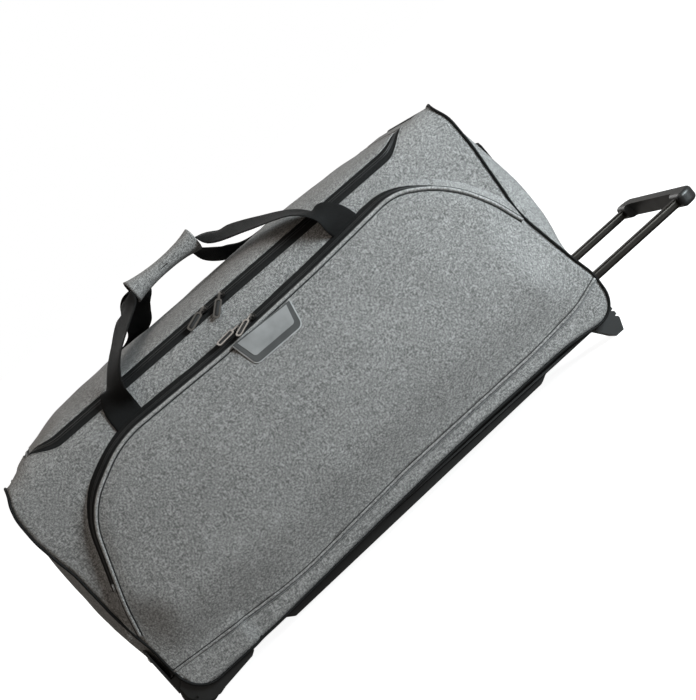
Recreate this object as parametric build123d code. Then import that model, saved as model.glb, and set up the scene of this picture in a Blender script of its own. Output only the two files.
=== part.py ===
from build123d import *
import math
import os

os.makedirs("parts", exist_ok=True)

# ---------------------------------------------------------------- driving dimensions (mm)
# Frame: X along the bag (wheels at -X, pull handle at +X), Y depth (pocket at -Y), Z up.

# fabric body
HALF_L = 438.0          # half length between the piping planes
HALF_W = 200.0          # half depth, front face to back face
Z_LOW = 28.0            # underside of the bottom panel
Z_TOP = 468.0           # top of the flat lid plane
SKIN = 4.0              # outer fabric, foam and lining together
R_LOW = 45.0            # bottom corners, side view
R_TOP = 55.0            # top corners, end view
PIPE_R = 2.5            # piping cord radius
PIPE_OUT = 1.77         # piping centre beyond each face, so that the cord just touches the edge

# end panel bulges
BULGE_WHEEL = 22.0
BULGE_HANDLE = 44.0

# lid and its U-shaped zip
ZIP_X0 = -385.0
ZIP_X1 = 380.0
ZIP_Y = -184.0
ZIP_R = 60.0
HINGE_Y = 148.0
TAPE = 8.0
ZIP_END_Y = 140.0
ZIP_GAP = 0.4
LID_PUFF = 15.0

# front pocket
PK_OUT = 26.0           # how far the pocket stands off the front panel
PK_SLOPE = 12.0         # how far its zipped edge leans outward
PK_WALL = 3.0
PK_ZIP_DEPTH = 12.0     # from the front panel to the middle of the pocket zip
PK_R = 90.0
FOLD_A = (-413.0, 222.0)
FOLD_B = (348.0, 365.0)

# sliders and pulls
SLIDER_L = 12.0
SLIDER_W = 11.0
SLIDER_T = 3.0
SLIDER_LIFT = 0.3
CROWN_H = 6.5           # crown bar axis above the zip surface
PULL_L = 41.0
PULL_W = 11.0

# carry straps
WEB_W = 50.0
WEB_T = 2.5
GRIP_Z = 540.0
GRIP_Y = -10.0
WRAP_X0 = -91.0
WRAP_X1 = 39.0

# telescopic handle
TUBE_Y = 127.0
TUBE_Z = 82.0
OUTER = (24.0, 20.0, 1.2)
STAGE1 = (21.0, 17.0, 1.1)
STAGE2 = (18.2, 14.2, 1.0)
GRIP_X0 = 650.0
GRIP_X1 = 690.0
GRIP_HALF = 150.0
ROD_R = 2.0
PIN_R = 2.5
PIN_X = 245.0

# wheels
WHEEL_X = -413.0
WHEEL_Z = 31.0
WHEEL_R = 31.0
HUB_R = 20.0
WHEEL_Y = 170.0
WHEEL_W = 28.0
AXLE_R = 3.0
WELL_R = 34.0
WELL_HALF = 18.0


# ---------------------------------------------------------------- helpers
def block(x0, x1, y0, y1, z0, z1):
    return Pos((x0 + x1) / 2, (y0 + y1) / 2, (z0 + z1) / 2) * Box(x1 - x0, y1 - y0, z1 - z0)


def prism_y(points, y0, y1):
    """Polygon given as (x, z), extruded from y0 to y1."""
    wire = Wire.make_polygon([Vector(x, y0, z) for x, z in points], close=True)
    return Solid.extrude(Face(wire), Vector(0, y1 - y0, 0))


def rod_x(radius, x0, x1, y, z):
    return Pos((x0 + x1) / 2, y, z) * (Rot(0, 90, 0) * Cylinder(radius, x1 - x0))


def rod_y(radius, y0, y1, x, z):
    return Pos(x, (y0 + y1) / 2, z) * (Rot(90, 0, 0) * Cylinder(radius, y1 - y0))


def rod_z(radius, z0, z1, x, y):
    return Pos(x, y, (z0 + z1) / 2) * Cylinder(radius, z1 - z0)


def one(shape):
    """A single compound made of all the solids in a shape."""
    solids = shape.solids()
    return solids[0] if len(solids) == 1 else Compound(children=list(solids))


def mirror_y(shape):
    return mirror(shape, Plane.XZ)


def save(name, shape):
    shape.label = name
    export_step(shape, f"parts/{name}.step")


def ruled(sections):
    wires = [Wire.make_polygon(points, close=True) for points in sections]
    return Solid.make_loft(wires, ruled=True)


# ---------------------------------------------------------------- body envelope
def wrap_block(inset, z_low):
    """End-view envelope: straight sides with rounded top corners."""
    top = Z_TOP - inset
    solid = block(-HALF_L, HALF_L, -HALF_W + inset, HALF_W - inset, z_low, top)
    return fillet(solid.edges().filter_by(Axis.X).group_by(Axis.Z)[-1], R_TOP - inset)


def gusset_block(inset, z_high):
    """Side-view envelope: straight ends with rounded bottom corners."""
    solid = block(-HALF_L + inset, HALF_L - inset, -HALF_W, HALF_W, Z_LOW + inset, z_high)
    return fillet(solid.edges().filter_by(Axis.Y).group_by(Axis.Z)[0], R_LOW - inset)


envelope = wrap_block(0, Z_LOW) & gusset_block(0, Z_TOP)
wrap = (wrap_block(0, Z_LOW) - wrap_block(SKIN, Z_LOW - 20)) & gusset_block(0, Z_TOP)
gusset = (gusset_block(0, Z_TOP) - gusset_block(SKIN, Z_TOP + 20)) & wrap_block(SKIN, Z_LOW)


# ---------------------------------------------------------------- wheel housing shape
def housing_profile(top):
    return [
        (-318, top), (-428, top), (-436, 54), (-436, 36), (-428, 20),
        (-413, 10), (-396, 7), (-384, 10), (-325, 17), (-317, 22),
    ]


HOUSE_IN = 140.0        # inner face of the housing, from the middle of the bag
HOUSE_OUT = 204.0       # outer face of the housing, a little proud of the fabric
well_y0 = -WHEEL_Y - WELL_HALF
well_y1 = -WHEEL_Y + WELL_HALF
housing = prism_y(housing_profile(62), -HOUSE_OUT, -HOUSE_IN)
housing = housing + block(-434, -374, well_y0 - 4, well_y1 + 4, 50, 69)
for y0, y1 in ((-199, well_y0), (well_y1, -HOUSE_IN)):
    housing = housing + block(-442, -420, y0, y1, 48, 72)
housing_envs = housing + mirror_y(housing)


# ---------------------------------------------------------------- lid, zip and top panels
def zip_plan(offset, y_end):
    """Plan of the lid zip line moved outward by offset, square at the hinge end."""
    x0 = ZIP_X0 - offset
    x1 = ZIP_X1 + offset
    y0 = ZIP_Y - offset
    solid = block(x0, x1, y0, y_end, 380, 500)
    return fillet(solid.edges().filter_by(Axis.Z).group_by(Axis.Y)[0], ZIP_R + offset)


lid_zone = zip_plan(-TAPE, HINGE_Y - 0.5)
lid = wrap & lid_zone
lid_tape = wrap & (zip_plan(-ZIP_GAP, ZIP_END_Y) - zip_plan(-TAPE, ZIP_END_Y + 20))
body_tape = wrap & (zip_plan(TAPE, ZIP_END_Y) - zip_plan(ZIP_GAP, ZIP_END_Y + 20))

# the middle of the lid stands up a little, as a soft hollow pad
puff_low = (-350, 345, -140, 130)
puff_high = (-270, 265, -85, 80)


def rect_z(bounds, z, inset):
    x0, x1, y0, y1 = bounds
    x0, x1, y0, y1 = x0 + inset, x1 - inset, y0 + inset, y1 - inset
    return [Vector(x0, y0, z), Vector(x1, y0, z), Vector(x1, y1, z), Vector(x0, y1, z)]


puff = ruled([rect_z(puff_low, Z_TOP, 0), rect_z(puff_high, Z_TOP + LID_PUFF, 0)])
puff_in = ruled([rect_z(puff_low, Z_TOP, 7), rect_z(puff_high, Z_TOP + LID_PUFF - SKIN, 7)])
puff_hole = block(
    puff_low[0] + 7, puff_low[1] - 7, puff_low[2] + 7, puff_low[3] - 7, Z_TOP - 10, Z_TOP
)
lid = (lid + puff) - puff_in - puff_hole

outside = wrap - zip_plan(TAPE, HINGE_Y)
front = outside & block(-500, 500, -300, -HALF_W + R_TOP, 0, 600)
back = outside & block(-500, 500, HINGE_Y, 300, 0, 600)
top_wheel = outside & block(-500, 0, -HALF_W + R_TOP, HINGE_Y, 400, 600)
top_handle = outside & block(0, 500, -HALF_W + R_TOP, HINGE_Y, 400, 600)
corner_w = wrap & block(ZIP_X0 - TAPE, ZIP_X0 + TAPE - 0.6, ZIP_END_Y, HINGE_Y, 400, 600)
corner_h = wrap & block(ZIP_X1 - TAPE + 0.6, ZIP_X1 + TAPE, ZIP_END_Y, HINGE_Y, 400, 600)

front_panel = front - housing_envs
back_panel = back - housing_envs

save("lid_flap", one(lid))
save("main_zip_lid_tape", one(lid_tape))
save("main_zip_body_tape", one(body_tape))
save("front_panel", one(front_panel))
save("back_panel", one(back_panel))
save("top_gusset_wheel_end", one(top_wheel + corner_w))
save("top_gusset_handle_end", one(top_handle + corner_h))


# ---------------------------------------------------------------- ends and bottom
def rect_x(x, half, z0, z1):
    return [Vector(x, -half, z0), Vector(x, half, z0), Vector(x, half, z1), Vector(x, -half, z1)]


def bulge(sign, height, z0):
    """Soft end panel standing out past the piping, hollow inside."""
    base = sign * HALF_L
    tip = sign * (HALF_L + height)
    skin_tip = sign * (HALF_L + height - SKIN)
    outer = ruled([rect_x(base, 178, z0, 445), rect_x(tip, 110, z0 + 55, 400)])
    inner = ruled([rect_x(base, 171, z0 + 7, 438), rect_x(skin_tip, 103, z0 + 62, 393)])
    hole = block(min(base, base - sign * 10), max(base, base - sign * 10), -171, 171, z0 + 7, 438)
    return outer, inner + hole


arc_x = HALF_L - R_LOW
wheel_outer, wheel_inner = bulge(-1, BULGE_WHEEL, 140)
end_wheel = gusset & block(-500, -arc_x, -300, 300, 0, 600)
end_wheel = end_wheel + wheel_outer - wheel_inner - housing_envs

handle_outer, handle_inner = bulge(1, BULGE_HANDLE, 186)
end_handle = gusset & block(arc_x, 500, -300, 300, 0, 600)
end_handle = end_handle + handle_outer - handle_inner
for side in (-1, 1):
    y = side * TUBE_Y
    end_handle = end_handle - block(
        400, 500, y - OUTER[0] / 2, y + OUTER[0] / 2,
        TUBE_Z - OUTER[1] / 2, TUBE_Z + OUTER[1] / 2,
    )
bottom = gusset & block(-arc_x, arc_x, -300, 300, 0, 600)

save("end_panel_wheel", one(end_wheel))
save("end_panel_handle", one(end_handle))
save("bottom_panel", one(bottom - housing_envs))
save("base_board", block(-300, arc_x, -185, 185, Z_LOW + SKIN, Z_LOW + SKIN + 3))


# ---------------------------------------------------------------- piping
def end_arch(x):
    y = HALF_W + PIPE_OUT
    z0 = Z_LOW + R_LOW
    z1 = Z_TOP + PIPE_OUT
    r = R_TOP + PIPE_OUT
    c = r * (1 - math.sqrt(0.5))
    path = [
        Line((x, -y, z0), (x, -y, z1 - r)),
        ThreePointArc((x, -y, z1 - r), (x, -y + c, z1 - c), (x, -y + r, z1)),
        Line((x, -y + r, z1), (x, y - r, z1)),
        ThreePointArc((x, y - r, z1), (x, y - c, z1 - c), (x, y, z1 - r)),
        Line((x, y, z1 - r), (x, y, z0)),
    ]
    section = Plane(origin=(x, -y, z0), z_dir=(0, 0, 1)) * Circle(PIPE_R)
    return sweep(section, path=Wire([e.edge() for e in path]))


def bottom_run(y):
    """From the wheel housing along the bottom edge and up round the handle-end corner."""
    x0 = -316.0
    x = HALF_L + PIPE_OUT
    z = Z_LOW - PIPE_OUT
    r = R_LOW + PIPE_OUT
    c = r * (1 - math.sqrt(0.5))
    path = [
        Line((x0, y, z), (x - r, y, z)),
        ThreePointArc((x - r, y, z), (x - c, y, z + c), (x, y, z + r)),
    ]
    section = Plane(origin=(x0, y, z), z_dir=(1, 0, 0)) * Circle(PIPE_R)
    return sweep(section, path=Wire([e.edge() for e in path]))


save("piping_wheel_end", end_arch(-HALF_L - PIPE_OUT))
save("piping_handle_end", end_arch(HALF_L + PIPE_OUT))
runs = [bottom_run(-HALF_W - PIPE_OUT), bottom_run(HALF_W + PIPE_OUT)]
save("piping_bottom", Compound(children=[r.solids()[0] for r in runs]))


# ---------------------------------------------------------------- front pocket
PK_FACE = -HALF_W - PK_OUT
PK_BACK = PK_FACE + SKIN
PK_SPLIT = -HALF_W - PK_ZIP_DEPTH


def pocket_outline(y, grow):
    corners = [(-424, 76), (-424, 165), (-350, 392), (360, 392), (424, 240), (424, 76)]
    face = Face(Wire.make_polygon([Vector(x, y, z) for x, z in corners], close=True))
    tops = face.vertices().group_by(Axis.Z)[-1]
    face = Face(face.outer_wire().fillet_2d(PK_R, tops))
    if grow == 0:
        return face.outer_wire()
    return face.outer_wire().offset_2d(grow, kind=Kind.INTERSECTION)


def pocket_ring(inset):
    top = pocket_outline(PK_BACK, -inset) if inset else pocket_outline(PK_BACK, 0)
    low = pocket_outline(-HALF_W, PK_SLOPE - inset)
    return Solid.make_loft([top, low], ruled=True)


def above_fold(gap, y0, y1):
    """Everything above the slanting fold line of the pocket flap."""
    rise = (FOLD_B[1] - FOLD_A[1]) / (FOLD_B[0] - FOLD_A[0])
    z0 = FOLD_A[1] + rise * (-600 - FOLD_A[0]) + gap
    z1 = FOLD_A[1] + rise * (600 - FOLD_A[0]) + gap
    return prism_y([(-600, z0), (600, z1), (600, 700), (-600, 700)], y0, y1)


plate = Solid.extrude(Face(pocket_outline(PK_FACE, 0)), Vector(0, SKIN, 0))
ring = (pocket_ring(0) - pocket_ring(PK_WALL)) & block(-433, 433, -300, -HALF_W, 0, 600)
whole = plate + ring
upper = above_fold(0.5, -300, -100)
lower_keep = above_fold(-0.5, -300, -100)

flap = plate & upper
flap_tape = ring & upper & block(-500, 500, PK_BACK, PK_SPLIT - 0.2, 0, 600)
pocket_body_tape = ring & upper & block(-500, 500, PK_SPLIT + 0.2, -HALF_W, 0, 600)
pocket_lower = whole - lower_keep

save("pocket_flap", one(flap))
save("pocket_zip_flap_tape", one(flap_tape))
save("pocket_zip_body_tape", one(pocket_body_tape))
save("pocket_lower_panel", one(pocket_lower))

badge = prism_y([(-47, 387), (-37, 342), (55, 341), (64, 382)], PK_FACE - 2.5, PK_FACE)
badge = fillet(badge.edges().filter_by(Axis.Y).sort_by(Axis.Z)[:2], 9)
save("badge_patch", one(badge))


# ---------------------------------------------------------------- sliders and pulls
def slider(x, origin, normal):
    """Zip slider: a shield over the teeth with a crown bar along the zip."""
    y, z = origin
    frame = Plane(origin=(x, y, z), x_dir=(1, 0, 0), z_dir=(0, normal[0], normal[1]))
    low = SLIDER_LIFT
    shield = Pos(0, 0, low + SLIDER_T / 2) * Box(SLIDER_L, SLIDER_W, SLIDER_T)
    shield = fillet(shield.edges().filter_by(Axis.Z), 3.5)
    bar = Pos(0, 0, CROWN_H) * (Rot(0, 90, 0) * Cylinder(1.0, SLIDER_L - 1.5))
    body = shield + bar
    for end in (-1, 1):
        height = CROWN_H + 0.6 - low - SLIDER_T
        post = Box(1.5, 1.6, height)
        body = body + Pos(end * (SLIDER_L / 2 - 1.5), 0, low + SLIDER_T + height / 2) * post
    return frame * body


def pull(x, axis_yz, down, turn):
    """Pull loop with an eye round the crown bar, lying off to one side by turn degrees."""
    y, z = axis_yz
    normal = (0, down[1], -down[0])
    frame = Plane(origin=(x, y, z), x_dir=(1, 0, 0), z_dir=normal)
    eye = Rot(0, 90, 0) * Cylinder(2.9, 3.0)
    neck = Pos(0, -5.5, 1.85) * Box(3.0, 11.0, 1.4)
    loop_l = PULL_L - 9
    loop = Pos(0, -9 - loop_l / 2, 2.1) * Box(PULL_W, loop_l, 1.8)
    loop = fillet(loop.edges().filter_by(Axis.Z), 4.5)
    hole = Pos(0, -9 - loop_l / 2, 2.1) * Box(PULL_W - 5, loop_l - 6, 4)
    hole = fillet(hole.edges().filter_by(Axis.Z), 2.4)
    arm = Rot(0, 0, -turn) * (neck + loop - hole)
    body = eye + arm - Rot(0, 90, 0) * Cylinder(1.3, 30)
    return frame * body


def arc_point(radius_extra):
    r = (R_TOP + radius_extra) * math.sqrt(0.5)
    return -HALF_W + R_TOP - r, Z_TOP - R_TOP + r


S = math.sqrt(0.5)
main_normal = (-S, S)
main_spot = arc_point(0)
main_axis = arc_point(CROWN_H)
main_down = (-math.sin(math.radians(30)), -math.cos(math.radians(30)))

lean = math.atan2(PK_SLOPE, PK_OUT - SKIN)
pk_normal = (-math.sin(lean), math.cos(lean))
pk_z = 392 + PK_SLOPE * (PK_SPLIT - PK_BACK) / (PK_OUT - SKIN)
pk_spot = (PK_SPLIT, pk_z)
pk_axis = (PK_SPLIT + pk_normal[0] * CROWN_H, pk_z + pk_normal[1] * CROWN_H)
pk_down = (-math.cos(math.radians(38)), -math.sin(math.radians(38)))

SLIDERS = [
    ("main_slider_left", "main_pull_left", -38, main_spot, main_normal, main_axis, main_down, 70),
    ("main_slider_right", "main_pull_right", -5, main_spot, main_normal, main_axis, main_down, 47),
    ("pocket_slider_left", "pocket_pull_left", -20, pk_spot, pk_normal, pk_axis, pk_down, 84),
    ("pocket_slider_right", "pocket_pull_right", 6, pk_spot, pk_normal, pk_axis, pk_down, 64),
]
for slider_name, pull_name, x, spot, normal, axis, down, turn in SLIDERS:
    save(slider_name, one(slider(x, spot, normal)))
    save(pull_name, one(pull(x, axis, down, turn)))


# ---------------------------------------------------------------- carry straps and grip wrap
def unit(v):
    n = math.sqrt(sum(c * c for c in v))
    return tuple(c / n for c in v)


def strap_section(centre, width, normal, mirrored, side):
    """Rectangle of webbing at one station; side -1 is the front strap."""
    sx = -1 if mirrored else 1
    w = unit(width)
    n = unit(normal)
    points = []
    for a, b in ((-1, -1), (1, -1), (1, 1), (-1, 1)):
        px = centre[0] + sx * w[0] * a * WEB_W / 2 + sx * n[0] * b * WEB_T / 2
        py = centre[1] - side * (w[1] * a * WEB_W / 2 + n[1] * b * WEB_T / 2)
        pz = centre[2] + w[2] * a * WEB_W / 2 + n[2] * b * WEB_T / 2
        points.append(Vector(px, py, pz))
    return points


def strap(side, anchor_left, anchor_right, layer_z):
    """One webbing loop from its left anchor up through the grip wrap and down again."""
    # stations run from the anchor to the wrap: along, depth, height, width and normal
    wall = HALF_W + WEB_T / 2
    mid = GRIP_Y * -side
    # the rear strap is slack, and leans towards the wrap sooner than the front one
    lean = 1.0 if side < 0 else 0.62
    stations = [
        (0.00, -wall, 405.0, (1, 0, 0), (0, -1, 0)),
        (0.02, -wall - 0.8, 424.0, (1, 0, -0.02), (0, -1, 0.05)),
        (0.10, -197.0, 466.0, (1, -0.25, -0.20), (0.1, -0.80, 0.60)),
        (0.33, -150.0, 498.0, (0.85, -0.55, -0.35), (0.1, -0.42, 0.90)),
        (0.66, -85.0, 527.0, (0.50, -0.85, -0.15), (-0.2, -0.25, 0.95)),
        (0.90, -24.0 + mid * 0.5, 537.0, (0.14, -1, 0), (-0.15, 0, 1)),
        (1.00, GRIP_Y * -side, 540.0, (0, -1, 0), (0, 0, 1)),
    ]
    sections = []
    for mirrored, anchor, edge in ((False, anchor_left, WRAP_X0), (True, anchor_right, WRAP_X1)):
        half = []
        for t, y, z, w, n in stations:
            x = anchor + (edge - anchor) * t ** lean
            n_flat = tuple(n[i] - w[i] * sum(a * b for a, b in zip(n, w)) /
                           sum(a * a for a in w) for i in range(3))
            lift = (layer_z - GRIP_Z) * t
            centre = (x, y if side < 0 else -y, z + lift)
            half.append(strap_section(centre, w, n_flat, mirrored, side))
        sections.append(half)
    left, right = sections
    return ruled(left + right[::-1])


front_strap = strap(-1, -230.0, 205.0, GRIP_Z + WEB_T / 2)
rear_strap = strap(1, -225.0, 205.0, GRIP_Z - WEB_T / 2)


def wrap_section(x, width, height):
    w = width / 2
    h = height / 2
    c = min(w, h) * 0.45
    corners = [
        (-w + c, -h), (w - c, -h), (w, -h + c), (w, h - c),
        (w - c, h), (-w + c, h), (-w, h - c), (-w, -h + c),
    ]
    return [Vector(x, GRIP_Y + a, GRIP_Z + b) for a, b in corners]


wrap_mid = (WRAP_X0 + WRAP_X1) / 2
wrap_quarter = (WRAP_X1 - WRAP_X0) / 4
grip_wrap = ruled([
    wrap_section(WRAP_X0, 66, 42),
    wrap_section(WRAP_X0 + wrap_quarter * 0.8, 60, 31),
    wrap_section(wrap_mid, 58, 25),
    wrap_section(WRAP_X1 - wrap_quarter * 0.8, 60, 31),
    wrap_section(WRAP_X1, 66, 42),
])
strap_slot = block(
    WRAP_X0 - 1, WRAP_X1 + 1, GRIP_Y - WEB_W / 2, GRIP_Y + WEB_W / 2,
    GRIP_Z - WEB_T, GRIP_Z + WEB_T,
)
front_strap = front_strap - rear_strap
grip_wrap = grip_wrap - strap_slot
save("front_carry_strap", one(front_strap))
save("rear_carry_strap", one(rear_strap))
save("carry_grip_wrap", one(grip_wrap))

# grab handle sewn across the handle-end panel
face_x = HALF_L + BULGE_HANDLE


def grab_section(x, y, tilt):
    c = math.cos(tilt)
    s = math.sin(tilt)
    t = 1.6
    return [
        Vector(x + c * t, y - s * t, 310), Vector(x - c * t, y + s * t, 310),
        Vector(x - c * t, y + s * t, 360), Vector(x + c * t, y - s * t, 360),
    ]


grab = ruled([
    grab_section(face_x + 1.6, -100, 0),
    grab_section(face_x + 1.6, -84, 0),
    grab_section(face_x + 11, -58, 0.15),
    grab_section(face_x + 12, 0, 0),
    grab_section(face_x + 11, 58, -0.15),
    grab_section(face_x + 1.6, 84, 0),
    grab_section(face_x + 1.6, 100, 0),
])
save("end_grab_handle", one(grab - handle_outer))


# ---------------------------------------------------------------- telescopic handle
def tube(size, x0, x1, side):
    w, h, wall = size
    y = side * TUBE_Y
    outer = block(x0, x1, y - w / 2, y + w / 2, TUBE_Z - h / 2, TUBE_Z + h / 2)
    outer = fillet(outer.edges().filter_by(Axis.X), h * 0.3)
    w -= 2 * wall
    h -= 2 * wall
    inner = block(x0 - 1, x1 + 1, y - w / 2, y + w / 2, TUBE_Z - h / 2, TUBE_Z + h / 2)
    return outer - fillet(inner.edges().filter_by(Axis.X), h * 0.3 - 0.4)


def plug(size, x0, x1, side, grow):
    """Solid bar with the outline of a tube, grown all round."""
    w = size[0] + 2 * grow
    h = size[1] + 2 * grow
    y = side * TUBE_Y
    solid = block(x0, x1, y - w / 2, y + w / 2, TUBE_Z - h / 2, TUBE_Z + h / 2)
    return fillet(solid.edges().filter_by(Axis.X), size[1] * 0.3 + grow)


def bore(size, x0, x1, side):
    """Solid bar that just fills a tube."""
    w = size[0] - 2 * size[2]
    h = size[1] - 2 * size[2]
    y = side * TUBE_Y
    solid = block(x0, x1, y - w / 2, y + w / 2, TUBE_Z - h / 2, TUBE_Z + h / 2)
    return fillet(solid.edges().filter_by(Axis.X), h * 0.3 - 0.4)


KEY_W = 2 * PIN_R + 0.6
pin_low = TUBE_Z - STAGE2[1] / 2 - 0.9
for side, name in ((-1, "front"), (1, "rear")):
    y = side * TUBE_Y
    save(f"outer_tube_{name}", tube(OUTER, -60, 446, side))
    keyway = block(62, 424, y - KEY_W / 2, y + KEY_W / 2, TUBE_Z - 9, TUBE_Z - 6)
    save(f"stage1_tube_{name}", tube(STAGE1, 56, 456, side) - keyway)
    save(f"stage2_tube_{name}", tube(STAGE2, 250, 664, side))
    save(f"latch_pin_{name}", rod_z(PIN_R, pin_low, TUBE_Z + 1, PIN_X, y))

guides = []
collars = []
for side in (-1, 1):
    y = side * TUBE_Y
    guide = plug(STAGE2, 238, 250, side, 0) + bore(STAGE2, 250, 262, side)
    guide = guide - rod_z(PIN_R + 0.2, TUBE_Z - 12, TUBE_Z + 4, PIN_X, y)
    guides.append(guide)
    collar = plug(STAGE1, 446.5, 458, side, 2)
    collar = collar - plug(STAGE1, 440, 456, side, 0) - plug(STAGE2, 450, 460, side, 0.3)
    collars.append(collar)
save("stage2_guides", Compound(children=[g.solids()[0] for g in guides]))
save("stage1_collars", Compound(children=[c.solids()[0] for c in collars]))

# grip in two shells, split level with the tubes: two legs and a slim bar for the fingers
grip = block(GRIP_X0 + 7, GRIP_X1, -GRIP_HALF, GRIP_HALF, TUBE_Z - 12.5, TUBE_Z + 12.5)
grip = fillet(grip.edges().filter_by(Axis.Z).group_by(Axis.X)[-1], 22)
grip = fillet(grip.edges().filter_by(Axis.Z).group_by(Axis.X)[0], 8)
grip = fillet(grip.faces().group_by(Axis.Z)[-1].edges() + grip.faces().group_by(Axis.Z)[0].edges(), 7)
hand_space = block(GRIP_X0 - 5, GRIP_X0 + 18, -108, 108, 60, 110)
hand_space = fillet(hand_space.edges().filter_by(Axis.Z).group_by(Axis.X)[-1], 12)
grip = grip - hand_space
cavity = block(GRIP_X0 + 21.5, GRIP_X0 + 34, -138, 138, TUBE_Z - 6.4, TUBE_Z + 6.4)
button_hole = block(GRIP_X0 + 28, GRIP_X1 + 5, -20.4, 20.4, TUBE_Z - 6.4, TUBE_Z + 6.4)
rods = []
for side in (-1, 1):
    grip = grip - plug(STAGE2, GRIP_X0 - 20, GRIP_X0 + 14, side, 0)
    grip = grip - rod_x(ROD_R + 0.4, GRIP_X0, GRIP_X0 + 28, side * TUBE_Y, TUBE_Z)
    rods.append(rod_x(ROD_R, 268, GRIP_X0 + 28, side * TUBE_Y, TUBE_Z))
grip = grip - cavity - button_hole
save("grip_upper_shell", one(grip & block(600, 700, -200, 200, TUBE_Z, 120)))
save("grip_lower_shell", one(grip & block(600, 700, -200, 200, 40, TUBE_Z)))

crossbar = block(GRIP_X0 + 27.5, GRIP_X0 + 33.5, -132, 132, TUBE_Z - 4, TUBE_Z + 4)
button = block(GRIP_X0 + 33.5, GRIP_X1 + 3, -20, 20, TUBE_Z - 6, TUBE_Z + 6)
button = fillet(button.faces().group_by(Axis.X)[-1].edges(), 2)
save("release_button", one(button))
push = crossbar
for rod in rods:
    push = push + rod
save("push_rods", one(push))

# hardware round the tubes inside the bag
exit_plate = block(HALF_L, HALF_L + 5, -186, 186, 64, 180)
exit_plate = fillet(exit_plate.edges().filter_by(Axis.X), 16)
exit_plate = chamfer(exit_plate.faces().group_by(Axis.X)[-1].edges(), 2)
cover = block(-40, HALF_L - SKIN, -152, 152, 35, 100)
cover = cover - block(-60, HALF_L, -149.5, 149.5, 0, 97.5)
cover = cover & gusset_block(SKIN, Z_TOP)
anchor = block(-76, -40, -150, 150, 35, 97)
for side in (-1, 1):
    mouth = plug(OUTER, HALF_L + 5, HALF_L + 8, side, 4)
    exit_plate = exit_plate + mouth
for side in (-1, 1):
    exit_plate = exit_plate - plug(OUTER, HALF_L - 5, HALF_L + 20, side, 0)
    anchor = anchor - plug(OUTER, -60, -30, side, 0)
save("handle_exit_plate", one(exit_plate))
save("channel_cover", one(cover))
save("tube_anchor_block", one(anchor))


# ---------------------------------------------------------------- wheels, housings, feet
well = rod_y(WELL_R, well_y0, well_y1, WHEEL_X, WHEEL_Z)
well = well + block(-460, WHEEL_X, well_y0, well_y1, -5, WHEEL_Z + WELL_R)
well = well + block(-460, WHEEL_X + WELL_R, well_y0, well_y1, -5, WHEEL_Z)
corner_plate = block(-442, -438, -199, -104, 66, 128)
corner_plate = fillet(corner_plate.edges().filter_by(Axis.X).group_by(Axis.Z)[-1], 12)
slot = block(-434, -424, -HOUSE_OUT - 2, -HOUSE_OUT + 2.5, 25, 29)
shell = (housing - well) + corner_plate - slot
shell = shell - rod_y(AXLE_R, -196, -145, WHEEL_X, WHEEL_Z)

for side, name in ((-1, "front"), (1, "rear")):
    y = side * WHEEL_Y
    save(f"wheel_housing_{name}", one(shell if side < 0 else mirror_y(shell)))

    half = WHEEL_W / 2
    tyre = rod_y(WHEEL_R, y - half, y + half, WHEEL_X, WHEEL_Z)
    tyre = fillet(tyre.edges(), 5) - rod_y(HUB_R, y - half, y + half, WHEEL_X, WHEEL_Z)
    hub = rod_y(HUB_R, y - half, y + half, WHEEL_X, WHEEL_Z)
    for face_y in (y - half, y + half):
        dish = rod_y(HUB_R - 3, face_y - 3, face_y + 3, WHEEL_X, WHEEL_Z)
        boss = rod_y(7, face_y - 3, face_y + 3, WHEEL_X, WHEEL_Z)
        hub = hub - (dish - boss)
    hub = hub - rod_y(AXLE_R + 0.05, y - 30, y + 30, WHEEL_X, WHEEL_Z)
    save(f"tyre_{name}", one(tyre))
    save(f"hub_{name}", one(hub))

    profile = [(404, 44), (404, 26), (424, 0), (440, 0), (447, 18), (447, 44)]
    foot = prism_y(profile, -186, -150) - gusset_block(0, Z_TOP)
    for z in (22, 32):
        foot = foot - block(443.5, 450, -200, -100, z, z + 4)
    foot = foot if side < 0 else mirror_y(foot)
    save(f"foot_{name}", one(foot))

axles = []
for side in (-1, 1):
    axles.append(rod_y(AXLE_R, min(side * 145, side * 196), max(side * 145, side * 196),
                       WHEEL_X, WHEEL_Z))
save("wheel_axles", Compound(children=axles))

skids = []
for side in (-1, 1):
    y = side * 165
    rail = prism_y([(-262, Z_LOW), (-236, 10), (286, 20), (302, Z_LOW)], y - 7, y + 7)
    low_edges = rail.edges().filter_by(lambda e: e.length > 400 and e.center().Z < 20)
    skids.append(chamfer(low_edges, 2))
save("skid_rails", Compound(children=skids))


def rivet(x, y, z):
    base = rod_x(5, x - 1, x, y, z)
    crown = Pos(x - 1.5, y, z) * (Rot(0, -90, 0) * Cone(5, 3, 1))
    return base + crown


rivets = []
for side in (-1, 1):
    rivets.append(rivet(-442, side * 135, 113))
    rivets.append(rivet(-442, side * 188, 113))
    rivets.append(rivet(-438, side * 66, 82))
    rivets.append(rivet(-438, side * 86, 82))
save("rivets", Compound(children=[r.solids()[0] for r in rivets]))
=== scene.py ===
import math
import bpy
import numpy as np
from mathutils import Matrix, Vector, noise


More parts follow.
